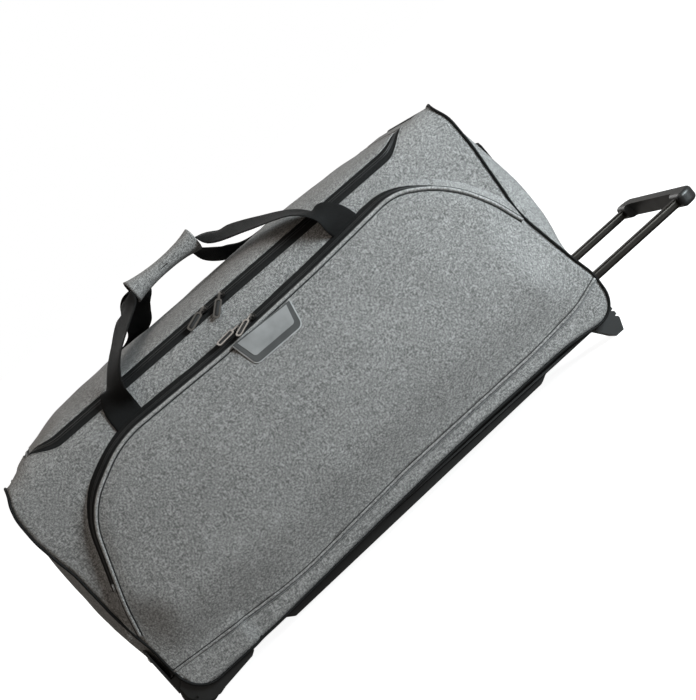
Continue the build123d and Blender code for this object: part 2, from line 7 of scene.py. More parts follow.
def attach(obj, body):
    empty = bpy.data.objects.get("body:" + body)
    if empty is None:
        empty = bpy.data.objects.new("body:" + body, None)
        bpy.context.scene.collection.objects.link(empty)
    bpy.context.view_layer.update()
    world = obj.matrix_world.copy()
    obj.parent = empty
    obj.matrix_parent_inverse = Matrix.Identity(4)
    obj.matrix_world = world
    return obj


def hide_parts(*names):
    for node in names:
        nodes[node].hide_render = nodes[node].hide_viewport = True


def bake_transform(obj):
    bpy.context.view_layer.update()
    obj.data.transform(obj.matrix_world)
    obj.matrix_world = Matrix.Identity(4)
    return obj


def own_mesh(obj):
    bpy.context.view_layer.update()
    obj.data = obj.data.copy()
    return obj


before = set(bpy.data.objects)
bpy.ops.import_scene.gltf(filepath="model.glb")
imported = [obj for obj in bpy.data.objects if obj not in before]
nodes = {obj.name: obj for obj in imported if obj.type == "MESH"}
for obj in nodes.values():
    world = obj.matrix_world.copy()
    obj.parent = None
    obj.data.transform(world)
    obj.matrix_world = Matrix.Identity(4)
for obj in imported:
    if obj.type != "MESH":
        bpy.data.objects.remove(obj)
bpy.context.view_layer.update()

# Lengths here are in millimetres, and become metres where a mesh is made.
MM = 0.001
HALF_L, HALF_W, Z_LOW, Z_TOP = 438.0, 200.0, 28.0, 468.0
R_LOW, R_TOP = 45.0, 55.0
ZIP_X0, ZIP_X1, ZIP_Y, ZIP_R = -385.0, 380.0, -184.0, 60.0
HINGE_Y, ZIP_END = 148.0, 140.0
LID_BACK = HINGE_Y + 16
TAPE = 8.5
PIPE_OUT = 1.2
POCKET_Y, POCKET_RISE = -226.0, 22.5
BADGE_BACK = -224.0
FOLD_A, FOLD_B = (-413.0, 222.0), (348.0, 365.0)
GRIP_Z, GRIP_Y = 540.0, -10.0
WRAP_X0, WRAP_X1 = -91.0, 39.0
WEB_W = 50.0
HOUSING_COVER = 7.2
CLOTH_T = 3.0
CREASE = 2.6
GRID = 7.0

# The bulge of each end panel: how far out, from which height, and where between it and the top
# the panel stands out most.
WHEEL_BULGE = (24, 85, 0.50)
HANDLE_BULGE = (52.0, 124, 0.40)

# For the functions that cut a mesh: past every edge, never cut, and the height above which only
# the bag's top and its shoulders lie.
FAR, NO_CUT, TOP_ONLY = 2000, 99.0, 400


# ------------------------------------------------------------------ small maths
def step(a, b, x):
    """0 up to a, 1 from b on, and smooth between; a may be the larger one."""
    t = np.clip((np.asarray(x, float) - a) / (b - a), 0, 1)
    return t * t * (3 - 2 * t)


def smooth_table(keys, values):
    """A smooth curve through the values, made once by blurring straight runs."""
    keys = np.asarray(keys, float)
    grid = np.linspace(keys[0] - 60, keys[-1] + 60, 500)
    raw = np.interp(grid, keys, values)
    width = 20
    kernel = np.hanning(2 * width + 1)
    padded = np.pad(raw, width, mode="edge")
    out = np.convolve(padded, kernel / kernel.sum(), mode="valid")
    return lambda x: np.interp(x, grid, out)


def fuzz(points, scale, seed, octaves=3):
    """Smooth noise about 0, at most 1.5 either way, at points in mm."""
    out = np.empty(len(points))
    for i, p in enumerate(points):
        v = Vector((p[0] / scale + seed, p[1] / scale - seed, p[2] / scale + 2 * seed))
        out[i] = noise.fractal(v, 0.9, 2.0, octaves)
    return np.clip(out, -1.5, 1.5)


# ------------------------------------------------------------------ how the cloth sags
# Ends of the bag lean in and out with height; the long bottom edges rise a little.
lean_wheel = smooth_table(
    [60, 89, 122, 152, 202, 285, 319, 357, 400, 448],
    [14, 11, 11, 6, 1, -1, -7, -12, -11, 0],
)
lean_handle = smooth_table(
    [60, 101, 141, 197, 228, 258, 292, 329, 374, 436, 475],
    [13, 16, 6, -5, -11, -14, -10, -7, -3, -3, -12],
)
rise_low = smooth_table([-430, -262, -89, 62, 179, 342, 399, 430], [0, 0, 8, 14, 17, 17, 8, 2])


def soft(p):
    """Where the cloth really lies, for points of the plain box shape; p is (n, 3) in mm."""
    p = np.asarray(p, float)
    x, y, z = p.T
    d = np.zeros_like(p)
    edge = step(150, 197, np.abs(y))
    d[:, 0] += lean_wheel(z) * step(-250, -438, x) * edge
    d[:, 0] += lean_handle(z) * step(250, 438, x) * edge
    d[:, 2] += rise_low(x) * step(95, 30, z) * step(172, 199, np.abs(y))
    # long faces belly out between their seams
    span = np.clip(1 - (x / 440) ** 2, 0, 1)
    high = np.clip(1 - ((z - 235) / 205) ** 2, 0, 1)
    belly = span ** 0.6 * high ** 0.7 * np.where(y > 0, 9, 3)
    d[:, 1] += np.sign(y) * step(185, 200, np.abs(y)) * belly
    # the top sinks a little towards the ends, most of all behind its front shoulder
    behind = step(425, 466, z) * step(-186, -122, y)
    d[:, 2] -= (5 + 11 * (x < 0)) * step(300, 400, np.abs(x)) * behind
    d[:, 2] -= 14 * step(-375, -440, x) * step(395, 466, z)
    d[:, 0] += 6 * step(-375, -440, x) * step(425, 466, z)
    d[:, 0] -= 3 * step(400, 440, x) * step(425, 466, z)
    d[:, 2] -= (5 + 4 * (x < 0)) * step(412, 440, np.abs(x)) * behind
    # the cloth lies over the outer faces of the wheel housings
    d[:, 1] += np.sign(y) * HOUSING_COVER * step(-292, -318, x) * step(88, 64, z) * step(196, 199, np.abs(y))
    return p + d


def wrinkle(p, normal, amount, seed, scale=95.0):
    """Shallow creases in the cloth, faded out near the seams by amount (n,) or a number."""
    w = fuzz(p, scale, seed, 3) * 0.7 + fuzz(p * [1, 1, 0.45], scale * 0.42, seed + 7, 2) * 0.3
    return p + normal * (w * amount)[:, None]


# ------------------------------------------------------------------ mesh helpers
def obj_from(name, verts, faces, mat, body, smooth=True):
    """A mesh object with one material, riding on body when one is named."""
    me = bpy.data.meshes.new(name)
    me.from_pydata([tuple(v) for v in np.asarray(verts, float) * MM], [], faces)
    me.validate()
    me.update()
    if smooth:
        me.shade_smooth()
    o = bpy.data.objects.new(name, me)
    bpy.context.scene.collection.objects.link(o)
    me.materials.append(mat)
    if body:
        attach(o, body)
    return o


def grid_faces(nu, nv):
    """Quads over nu rows of nv points."""
    faces = []
    for i in range(nu - 1):
        k = i + 1
        for j in range(nv - 1):
            faces.append((i * nv + j, k * nv + j, k * nv + j + 1, i * nv + j + 1))
    return faces


def ring_faces(rings, sides, caps=True):
    """Faces of a skin over rings of points in a row, with both ends closed by caps."""
    faces = []
    for i in range(rings - 1):
        for k in range(sides):
            m = (k + 1) % sides
            faces.append((i * sides + k, i * sides + m, (i + 1) * sides + m, (i + 1) * sides + k))
    if caps:
        faces.append(tuple(range(sides))[::-1])
        faces.append(tuple((rings - 1) * sides + k for k in range(sides)))
    return faces


def clip(verts, faces, value):
    """Keeps the part of a mesh where value is positive, cutting faces along value = 0."""
    verts = [np.asarray(v, float) for v in verts]
    value = [0.0 if abs(v) < 1e-9 else float(v) for v in value]
    cut = {}

    def crossing(a, b):
        key = (min(a, b), max(a, b))
        if key not in cut:
            t = value[a] / (value[a] - value[b])
            verts.append(verts[a] + (verts[b] - verts[a]) * t)
            value.append(0.0)
            cut[key] = len(verts) - 1
        return cut[key]

    out = []
    for f in faces:
        if all(value[v] >= 0 for v in f):
            out.append(tuple(f))
            continue
        if all(value[v] <= 0 for v in f):
            continue
        poly = []
        for i, a in enumerate(f):
            b = f[(i + 1) % len(f)]
            if value[a] >= 0:
                poly.append(a)
            if value[a] * value[b] < 0:
                poly.append(crossing(a, b))
        if len(poly) >= 3:
            out.append(tuple(poly))
    used = sorted({v for f in out for v in f})
    where = {v: i for i, v in enumerate(used)}
    return np.array([verts[v] for v in used]), [tuple(where[v] for v in f) for f in out]


def thicken(o, mm, lining=None):
    """Gives a cloth sheet its thickness, with the lining on the inner side."""
    m = o.modifiers.new("thick", "SOLIDIFY")
    m.thickness = mm * MM
    m.offset = -1
    m.use_even_offset = False
    if lining:
        o.data.materials.append(lining)
        m.material_offset = 1
        m.material_offset_rim = 0
    return o


def arc_points(cu, cv, r, a0, a1, steps):
    """Points of a circle's arc from angle a0 to a1, in the circle's own plane."""
    angles = [a0 + (a1 - a0) * k / steps for k in range(steps + 1)]
    return [(cu + r * math.cos(a), cv + r * math.sin(a)) for a in angles]


def corner_points(corners, i, radius, steps):
    """The arc that rounds corner i of a closed or open row of corners."""
    a, b, c = (np.array(corners[k % len(corners)], float) for k in (i - 1, i, i + 1))
    u, w = (a - b) / np.linalg.norm(a - b), (c - b) / np.linalg.norm(c - b)
    half = math.acos(np.clip(u @ w, -1, 1)) / 2
    reach = radius / math.tan(half)
    centre = b + (u + w) / np.linalg.norm(u + w) * radius / math.sin(half)
    a0 = math.atan2(*(b + u * reach - centre)[::-1])
    a1 = math.atan2(*(b + w * reach - centre)[::-1])
    turn = (a1 - a0 + math.pi) % (2 * math.pi) - math.pi
    return arc_points(*centre, radius, a0, a0 + turn, steps)


def resample(p, gap=None, count=None):
    """A polyline's points spaced evenly: about gap apart, or count of them."""
    run = np.r_[0, np.cumsum(np.linalg.norm(np.diff(p, axis=0), axis=1))]
    n = count or max(2, int(round(run[-1] / gap))) + 1
    t = np.linspace(0, run[-1], n)
    return np.stack([np.interp(t, run, p[:, k]) for k in range(p.shape[1])], axis=1)


def tangents(p):
    """Unit directions along a row of points."""
    d = np.gradient(p, axis=0)
    return d / np.maximum(np.linalg.norm(d, axis=1, keepdims=True), 1e-9)


def tube(name, path, radius, mat, body, sides=10, up=(0, 0, 1)):
    """A round cord along a path, with closed ends."""
    path = np.asarray(path, float)
    t = tangents(path)
    u = np.cross(t, np.asarray(up, float))
    bad = np.linalg.norm(u, axis=1) < 1e-3
    u[bad] = np.cross(t[bad], [0.3, 1, 0.2])
    u /= np.linalg.norm(u, axis=1, keepdims=True)
    v = np.cross(u, t)
    verts = []
    for k in range(sides):
        a = 2 * math.pi * k / sides
        verts.append(path + radius * (math.cos(a) * u + math.sin(a) * v))
    verts = np.stack(verts, axis=1).reshape(-1, 3)
    return obj_from(name, verts, ring_faces(len(path), sides), mat, body)


# ------------------------------------------------------------------ materials
class Mat:
    """A node material, with a few calls that keep its making short."""

    def __init__(self, name, roughness=0.6, metallic=0.0, specular=0.5):
        self.m = bpy.data.materials.new(name)
        self.m.use_nodes = True
        self.t = self.m.node_tree
        self.b = self.t.nodes["Principled BSDF"]
        self.b.inputs["Roughness"].default_value = roughness
        self.b.inputs["Metallic"].default_value = metallic
        self.b.inputs["Specular IOR Level"].default_value = specular
        self.co = self.t.nodes.new("ShaderNodeTexCoord").outputs["Object"]

    def add(self, kind, **values):
        n = self.t.nodes.new(kind)
        for k, v in values.items():
            if k in n.inputs:
                n.inputs[k].default_value = v
            else:
                setattr(n, k, v)
        return n

    def link(self, a, b):
        self.t.links.new(a, b)

    def stretched(self, sx, sy, sz):
        m = self.add("ShaderNodeMapping")
        m.inputs["Scale"].default_value = (sx, sy, sz)
        self.link(self.co, m.inputs["Vector"])
        return m.outputs[0]

    def noise(self, scale, detail=2.0, vector=None, rough=0.5):
        n = self.add("ShaderNodeTexNoise", Scale=scale, Detail=detail, Roughness=rough)
        self.link(vector or self.co, n.inputs["Vector"])
        return n.outputs["Fac"]

    def mix(self, kind, a, b):
        n = self.add("ShaderNodeMath", operation=kind)
        for slot, value in ((0, a), (1, b)):
            if isinstance(value, (int, float)):
                n.inputs[slot].default_value = value
            else:
                self.link(value, n.inputs[slot])
        return n.outputs[0]

    def ramp(self, fac, stops):
        n = self.add("ShaderNodeValToRGB")
        while len(n.color_ramp.elements) < len(stops):
            n.color_ramp.elements.new(0.5)
        for e, (pos, col) in zip(n.color_ramp.elements, stops):
            e.position = pos
            e.color = (*col, 1)
        self.link(fac, n.inputs["Fac"])
        return n.outputs["Color"]

    def colour(self, out):
        self.link(out, self.b.inputs["Base Color"])

    def bump(self, height, strength=0.5, distance=0.001):
        n = self.add("ShaderNodeBump", Strength=strength, Distance=distance)
        self.link(height, n.inputs["Height"])
        self.link(n.outputs[0], self.b.inputs["Normal"])

    def rough(self, fac, low, high):
        n = self.add("ShaderNodeMapRange")
        n.inputs["To Min"].default_value = low
        n.inputs["To Max"].default_value = high
        self.link(fac, n.inputs["Value"])
        self.link(n.outputs[0], self.b.inputs["Roughness"])


def grey(v, warm=0.0):
    """A grey of brightness v, tinted towards orange by warm."""
    return (v * (1 + warm), v, v * (1 - warm))


def melange(name, dark, light, warm=0.0):
    """Heather cloth: short threads both ways in mixed greys, with faint clouds."""
    m = Mat(name, roughness=0.92, specular=0.12)
    long_threads = m.noise(1.0, 1.0, m.stretched(260, 700, 1100))
    cross_threads = m.noise(1.0, 1.0, m.stretched(1100, 700, 260))
    fine = m.noise(1300, 1.0)
    clouds = m.noise(9, 2.0)
    share = 0.42
    threads = m.mix("ADD", m.mix("MULTIPLY", long_threads, share), m.mix("MULTIPLY", cross_threads, share))
    tone = m.mix("ADD", threads, m.mix("MULTIPLY", fine, 0.12))
    tone = m.mix("ADD", tone, m.mix("MULTIPLY", clouds, 0.04))
    mid = (dark * light) ** 0.5
    tones = zip((0.42, 0.50, 0.58), (dark, mid, light))
    m.colour(m.ramp(tone, [(at, grey(v, warm)) for at, v in tones]))
    m.bump(threads, 0.5, 0.0005)
    return m.m


def dark_cloth(name, base, rib_scale, axis, rough, bump):
    """Black woven tape or webbing with fine ribs."""
    m = Mat(name, roughness=rough, specular=0.10)
    w = m.add(
        "ShaderNodeTexWave", wave_type="BANDS", bands_direction=axis, Scale=rib_scale, Distortion=1.2
    )
    m.link(m.co, w.inputs["Vector"])
    grain = m.noise(700, 2.0)
    h = m.mix("ADD", m.mix("MULTIPLY", w.outputs["Fac"], 0.6), m.mix("MULTIPLY", grain, 0.5))
    m.colour(m.ramp(h, [(0.25, grey(base * 0.6)), (0.85, grey(base * 1.7))]))
    m.bump(h, bump, 0.0006)
    return m.m


def moulded(name, base, rough, grain=1400, spec=0.45, bump=0.12):
    """Moulded plastic or rubber with a fine grain and slight scuffing."""
    m = Mat(name, roughness=rough, specular=spec)
    fine = m.noise(grain, 2.0)
    wide = m.noise(35, 3.0)
    m.colour(m.ramp(wide, [(0.3, grey(base * 0.85)), (0.75, grey(base * 1.25))]))
    m.bump(fine, bump, 0.0004)
    m.rough(wide, rough - 0.07, rough + 0.1)
    return m.m


def metal(name, base, rough, warm=0.0, brushed=(40, 900, 900)):
    """Metal with fine lines, whose scale along each axis is brushed."""
    m = Mat(name, roughness=rough, metallic=1.0)
    lines = m.noise(1.0, 3.0, m.stretched(*brushed))
    m.colour(m.ramp(lines, [(0.3, grey(base * 0.85, warm)), (0.7, grey(base * 1.12, warm))]))
    m.rough(lines, rough - 0.06, rough + 0.1)
    m.bump(lines, 0.06, 0.0003)
    return m.m


CLOTH = melange("melange_cloth", 0.100, 0.345, 0.018)
WELT = melange("melange_welt", 0.14, 0.40, 0.018)
LINING = dark_cloth("lining_cloth", 0.055, 260, "Z", 0.85, 0.3)
BOTTOM = dark_cloth("bottom_cloth", 0.010, 420, "Y", 0.7, 0.5)
PIPING = dark_cloth("piping_cover", 0.007, 900, "X", 0.55, 0.3)
TAPE_M = dark_cloth("zip_tape_cloth", 0.010, 620, "X", 0.75, 0.5)
COIL = moulded("zip_coil", 0.012, 0.42, grain=900)
WEB = dark_cloth("webbing_cloth", 0.007, 620, "X", 0.7, 0.6)
THREAD = moulded("black_thread", 0.01, 0.7)
GREY_THREAD = moulded("grey_thread", 0.17, 0.8)
PLASTIC = moulded("black_plastic_grain", 0.009, 0.42, spec=0.5, bump=0.25)
GRIP = moulded("grip_plastic_satin", 0.012, 0.36, spec=0.5, bump=0.1)
RUBBER = moulded("wheel_rubber_matte", 0.012, 0.62, bump=0.2)
TUBE = metal("anodised_tube", 0.035, 0.36, 0.10)
STEEL = metal("plated_steel", 0.62, 0.25)
PULL_M = metal("pull_gunmetal", 0.24, 0.38, 0.05, (900, 900, 900))
SLIDER_M = metal("slider_gunmetal", 0.07, 0.34, 0.02, (900, 900, 900))
BADGE_FACE = moulded("badge_face", 0.23, 0.6, grain=2200, bump=0.1)
BADGE_RIM = moulded("badge_rim", 0.34, 0.5, grain=2200, bump=0.1)
BADGE_DARK = moulded("badge_border", 0.055, 0.6, grain=2200, bump=0.1)
BOARD = moulded("board_plastic", 0.03, 0.6)


# ------------------------------------------------------------------ the body's plain shape
def u_profile(s, half, start, turn, r):
    """(across, z) and outward normal along a wall, a rounded corner, a flat, and back again.

    s is the run from the first wall's end; that wall stands at -half and goes from z = start to
    the flat at z = turn.
    """
    sense = 1.0 if turn > start else -1.0
    wall = abs(turn - start) - r
    arc = r * math.pi / 2
    flat = 2 * (half - r)
    out = []
    for v in s:
        far = v > wall + arc + flat / 2
        w = 2 * (wall + arc) + flat - v if far else v
        if w <= wall:
            a, b, c, d = -half, start + sense * w, -1.0, 0.0
        elif w <= wall + arc:
            t = (w - wall) / r
            c, d = -math.cos(t), sense * math.sin(t)
            a, b = -half + r + r * c, turn - sense * r + r * d
        else:
            a, b, c, d = -half + r + (w - wall - arc), turn, 0.0, sense
        sign = -1 if far else 1
        out.append((a * sign, b, c * sign, d))
    return np.array(out).T


def u_length(half, start, turn, r):
    """The whole run of a u_profile."""
    return 2 * (abs(turn - start) - r) + r * math.pi + 2 * (half - r)


# The wrap goes up the front, over the top and down the back; the gusset goes down the wheel end,
# along the bottom and up the handle end.
WRAP = (HALF_W, Z_LOW, Z_TOP, R_TOP)
GUSSET = (HALF_L, Z_TOP, Z_LOW, R_LOW)
WRAP_LEN, GUSSET_LEN = u_length(*WRAP), u_length(*GUSSET)
GUSSET_END = Z_TOP - Z_LOW - R_LOW + R_LOW * math.pi / 2
GUSSET_COLS = 59


def round_rect(u, v, u0, u1, v0, v1, r00, r10, r11, r01):
    """Signed distance, positive inside, of a rectangle with its own radius at each corner."""
    u, v = np.asarray(u, float), np.asarray(v, float)
    d = np.minimum.reduce([u - u0, u1 - u, v - v0, v1 - v])
    ends = ((u0, v0, 1, 1, r00), (u1, v0, -1, 1, r10), (u1, v1, -1, -1, r11), (u0, v1, 1, -1, r01))
    for cu, cv, su, sv, r in ends:
        if r > 0:
            a, b = (u - cu) * su, (v - cv) * sv
            inside = (a < r) & (b < r)
            d = np.where(inside, r - np.hypot(a - r, b - r), d)
    return d


def zip_distance(x, y):
    """Distance outside the lid's zip line in plan; negative on the lid."""
    return -round_rect(x, y, ZIP_X0, ZIP_X1, ZIP_Y, FAR, ZIP_R, ZIP_R, 0, 0)


def side_outline(p):
    """Distance inside the bag's outline as seen from the front."""
    return round_rect(p[:, 0], p[:, 2], -HALF_L, HALF_L, Z_LOW, FAR, R_LOW, R_LOW, 0, 0)


def end_outline(p):
    """Distance inside the bag's outline as seen from an end."""
    return round_rect(p[:, 1], p[:, 2], -HALF_W, HALF_W, -FAR, Z_TOP, 0, 0, R_TOP, R_TOP)


def wrap_grid(s0, s1):
    """Points and quads of the wrap's plain shape, over the bag's whole length."""
    nx = int(2 * HALF_L / GRID) + 1
    ns = int((s1 - s0) / GRID) + 1
    y, z = u_profile(np.linspace(s0, s1, ns), *WRAP)[:2]
    x = np.repeat(np.linspace(-HALF_L, HALF_L, nx), ns)
    return np.stack([x, np.tile(y, nx), np.tile(z, nx)], axis=1), grid_faces(nx, ns)


def gusset_grid(s0, s1, gap=GRID):
    """Points, outward normals and quads of the gusset's plain shape, over the bag's width."""
    cols = GUSSET_COLS
    ns = int((s1 - s0) / gap) + 1
    y = np.tile(np.linspace(-HALF_W, HALF_W, cols), ns)
    x, z, nx, nz = u_profile(np.linspace(s0, s1, ns), *GUSSET)
    P = np.stack([np.repeat(x, cols), y, np.repeat(z, cols)], axis=1)
    N = np.stack([np.repeat(nx, cols), np.zeros(ns * cols), np.repeat(nz, cols)], axis=1)
    return P, N, [f[::-1] for f in grid_faces(ns, cols)]


def cloth_sheet(name, points, faces, mat=CLOTH):
    """A lined sheet of cloth through the points."""
    return thicken(obj_from(name, points, faces, mat, None), CLOTH_T, LINING)


def wrap_normal(p):
    """Outward normal of the wrap's plain shape at points on it."""
    y, z = p[:, 1], p[:, 2]
    c = HALF_W - R_TOP
    cy = np.clip(y, -c, c)
    cz = np.minimum(z, Z_TOP - R_TOP)
    n = np.stack([np.zeros(len(p)), y - cy, z - cz], axis=1)
    return n / np.maximum(np.linalg.norm(n, axis=1, keepdims=True), 1e-9)


def wrap_amount(p):
    """Height of the wrap's creases: less near the seams and the zip."""
    zipper = np.abs(zip_distance(p[:, 0], p[:, 1]))
    near_zip = np.where(p[:, 2] > 430, step(8, 60, zipper), 1.0)
    return 2.4 * step(2, 60, side_outline(p)) * near_zip


def body_cut(p):
    """Positive on the cloth that stays on the body: outside the zip, and behind the lid."""
    off_lid = np.maximum(zip_distance(p[:, 0], p[:, 1]) - TAPE, p[:, 1] - LID_BACK)
    return np.where(p[:, 2] > TOP_ONLY, off_lid, NO_CUT)


P, faces = wrap_grid(0, WRAP_LEN)
for cut in (side_outline, body_cut):
    P, faces = clip(P, faces, cut(P))
P = wrinkle(soft(P), wrap_normal(P), wrap_amount(P), 3.1)
body_skin = cloth_sheet("body_cloth_front_and_back", P, faces)
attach(body_skin, "body")
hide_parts("front_panel", "back_panel", "top_gusset_wheel_end", "top_gusset_handle_end")


# ------------------------------------------------------------------ lid
LID_MID_X = (ZIP_X1 + ZIP_X0) / 2
LID_RISE = 14.5


def lid_puff(p):
    """Height that the soft lid stands above its flat shape."""
    x, y = p[:, 0] - LID_MID_X, p[:, 1]
    across = np.clip(1 - ((y + 5) / 150) ** 2, 0, 1) ** 0.8
    along = np.clip(1 - (np.abs(x) / 372) ** 2.6, 0, 1) ** 0.9
    dip, hump = ((p[:, 0] + 50) / 95) ** 2, ((p[:, 0] - 190) / 90) ** 2
    return LID_RISE * across * along * (1 - 0.25 * np.exp(-dip) + 0.10 * np.exp(-hump))


def lid_cut(p):
    """Positive on the lid's cloth: inside the zip, between its straight legs and up to the hinge."""
    inside = np.where(p[:, 1] < ZIP_END, -zip_distance(p[:, 0], p[:, 1]) - TAPE, NO_CUT)
    legs = np.minimum(p[:, 0] - (ZIP_X0 + TAPE), (ZIP_X1 - TAPE) - p[:, 0])
    lid_part = np.minimum(np.minimum(inside, legs), LID_BACK - p[:, 1])
    return np.where(p[:, 2] > TOP_ONLY, lid_part, -NO_CUT)


P, faces = wrap_grid(380, WRAP_LEN - 440)
P, faces = clip(P, faces, lid_cut(P))
edge = np.minimum(-zip_distance(P[:, 0], P[:, 1]), LID_BACK + 4 - P[:, 1])
p = soft(P)
p[:, 2] += lid_puff(P)
p = wrinkle(p, wrap_normal(P), CREASE * step(4, 70, edge), 5.7, 120)
lid = cloth_sheet("lid_cloth", p, faces)
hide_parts("lid_flap")
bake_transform(lid)


# ------------------------------------------------------------------ main zip
def zip_path(offset):
    """Plan line of the main zip moved outward by offset: left leg, front run, right leg."""
    r = ZIP_R + offset
    x0, x1, y0 = ZIP_X0 - offset, ZIP_X1 + offset, ZIP_Y - offset
    pts = [(x0, ZIP_END)]
    pts += arc_points(x0 + r, y0 + r, r, math.pi, 1.5 * math.pi, 24)
    pts += arc_points(x1 - r, y0 + r, r, 1.5 * math.pi, 2 * math.pi, 24)
    pts.append((x1, ZIP_END))
    return np.array(pts)


def on_wrap(plan, height):
    """Points of the wrap surface above plan points, lifted by height along the normal."""
    x, y = plan[:, 0], plan[:, 1]
    c = HALF_W - R_TOP
    over = np.clip(np.abs(y) - c, 0, R_TOP - 0.01)
    z = Z_TOP - R_TOP + np.sqrt(R_TOP ** 2 - over ** 2)
    base = np.stack([x, y, z], axis=1)
    return soft(base) + wrap_normal(base) * height


def strip(name, lines, mat, thick, body, flip=False):
    """A band of cloth through several lines of points that run side by side."""
    verts = np.stack(lines, axis=1).reshape(-1, 3)
    faces = grid_faces(len(lines[0]), len(lines))
    if flip:
        faces = [f[::-1] for f in faces]
    o = thicken(obj_from(name, verts, faces, mat, None), thick)
    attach(o, body)
    return o


def zip_line(offset, height):
    """The zip line moved sideways by offset, with the same number of points each time."""
    return on_wrap(resample(zip_path(offset), count=420), height)


# Across one tape: distance from the zip's middle, and height over the cloth's plain shape.
tape_section = ((0.35, -1.4), (0.4, -0.6), (2.6, -0.9), (6.0, -1.1), (TAPE + 2.5, -1.3))
for sign, body, name, node in (
    (1, "body", "main_zip_tape_outer", "main_zip_body_tape"),
    (-1, "lid", "main_zip_tape_inner", "main_zip_lid_tape"),
):
    lines = [zip_line(sign * a, h) for a, h in tape_section]
    o = strip(name, lines, TAPE_M, 0.9, body, flip=sign > 0)
    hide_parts(node)
    coil = tube(name.replace("tape", "coil"), zip_line(sign * 1.3, -0.55), 0.95, COIL, body, 8)
    hem = tube(name.replace("tape", "hem"), zip_line(sign * (TAPE + 0.2), -0.2), 1.0, CLOTH, body, 8)


# ------------------------------------------------------------------ ends and bottom
def end_bulge(p, out, z0, middle):
    """How far a stuffed end panel stands out: most at its middle, fading above and below."""
    y, z = p[:, 1], p[:, 2]
    mid = z0 + (Z_TOP - z0) * middle
    above = np.clip((z - mid) / (Z_TOP - mid), 0, 1)
    below = np.clip((mid - z) / (mid - z0), 0, 1)
    across = np.clip(1 - (y / 197) ** 2, 0, 1) ** 0.55
    return out * across * (1 - above ** 1.6) ** 1.3 * (1 - below ** 2.6) ** 0.8


def end_piece(name, sign, bulge, seed):
    """One end panel; sign is -1 at the wheel end and 1 at the handle end."""
    s0 = 0 if sign < 0 else GUSSET_LEN - GUSSET_END
    P, N, faces = gusset_grid(s0, s0 + GUSSET_END)
    V, faces = clip(np.hstack([P, N]), faces, end_outline(P))
    base, n = V[:, :3], V[:, 3:]
    p = soft(base)
    p[:, 0] += sign * end_bulge(base, *bulge)
    seam = np.minimum(end_outline(base), base[:, 2] - bulge[1])
    p = wrinkle(p, n, CREASE * step(2, 70, seam), seed, 110)
    o = cloth_sheet(name, p, faces)
    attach(o, "body")
    return o


end_w = end_piece("end_cloth_wheel", -1, WHEEL_BULGE, 9.1)
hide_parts("end_panel_wheel")
end_h = end_piece("end_cloth_handle", 1, HANDLE_BULGE, 12.4)
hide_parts("end_panel_handle")

P, N, faces = gusset_grid(GUSSET_END, GUSSET_LEN - GUSSET_END, 9.0)
P = wrinkle(soft(P), N, 1.2 * step(0, 60, HALF_W - np.abs(P[:, 1])), 2.2)
o = cloth_sheet("bottom_cloth_panel", P, faces, BOTTOM)
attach(o, "body")
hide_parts("bottom_panel")


# ------------------------------------------------------------------ piping
def end_arch(x):
    """The piping's line round an end: up the front corner, over the top and down the back."""
    y, z0, z1, r = HALF_W + PIPE_OUT, 73.0, Z_TOP + PIPE_OUT, R_TOP + PIPE_OUT
    pts = [(-y, z) for z in np.linspace(z0, z1 - r, 60)]
    pts += arc_points(-y + r, z1 - r, r, math.pi, math.pi / 2, 16)[1:]
    pts += [(v, z1) for v in np.linspace(-y + r, y - r, 42)[1:]]
    pts += arc_points(y - r, z1 - r, r, math.pi / 2, 0, 16)[1:]
    pts += [(y, z) for z in np.linspace(z1 - r, z0, 60)[1:]]
    return np.array([(x, *p) for p in pts])


def low_run(y):
    """The piping's line along one long bottom edge, from end to end."""
    x, z, r = HALF_L + PIPE_OUT, Z_LOW - PIPE_OUT, R_LOW + PIPE_OUT
    pts = arc_points(-x + r, z + r, r, math.pi, 1.5 * math.pi, 16)[:-1]
    pts += [(v, z) for v in np.linspace(-x + r, x - r, 120)]
    pts += arc_points(x - r, z + r, r, -math.pi / 2, 0, 16)[1:]
    return np.array([(a, y, b) for a, b in pts])


for name, path, node in (
    ("piping_cord_wheel_end", end_arch(-HALF_L - PIPE_OUT), "piping_wheel_end"),
    ("piping_cord_handle_end", end_arch(HALF_L + PIPE_OUT), "piping_handle_end"),
):
    o = tube(name, soft(path), 2.1, PIPING, "body", 12, up=(1, 0, 0))
    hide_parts(node)
for name, y in (
    ("piping_cord_low_front", -HALF_W - PIPE_OUT),
    ("piping_cord_low_rear", HALF_W + PIPE_OUT),
):
    o = tube(name, soft(low_run(y)), 2.3, PIPING, "body", 12, up=(0, 1, 0))
    if y < 0:
        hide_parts("piping_bottom")


# ------------------------------------------------------------------ front pocket
def fillet_path(corners, radii, gap=6.0):
    """A polyline with rounded corners, as evenly spaced points; the ends stay sharp."""
    pts = [corners[0]]
    for i in range(1, len(corners) - 1):
        pts += corner_points(corners, i, radii[i], 16)
    pts.append(corners[-1])
    return resample(np.array(pts, float), gap)


# the pocket's edge: up from the piping at the wheel end, over the top and down to the piping
pocket_edge = fillet_path(
    [
        (-429, 152), (-416, 203), (-363, 342), (-262, 392), (-60, 387),
        (120, 392), (290, 402), (362, 358), (405, 282), (423, 238),
    ],
    [0, 330, 120, 170, 800, 900, 90, 190, 300, 0],
)
pocket_low = fillet_path(
    [(451, 96), (400, 81), (300, 74), (30, 72), (-195, 60), (-300, 70), (-427, 81)],
    [0, 160, 500, 900, 700, 500, 0],
)
handle_side = np.array([(423.0, 238), (424, 215), (429, 190), (437, 160), (443, 130), (450, 105), (451, 96)])
wheel_side = np.array([(-427.0, 81), (-430, 105), (-431, 130), (-429, 152)])
outline = np.vstack([pocket_edge, handle_side[1:-1], pocket_low, wheel_side[1:-1]])


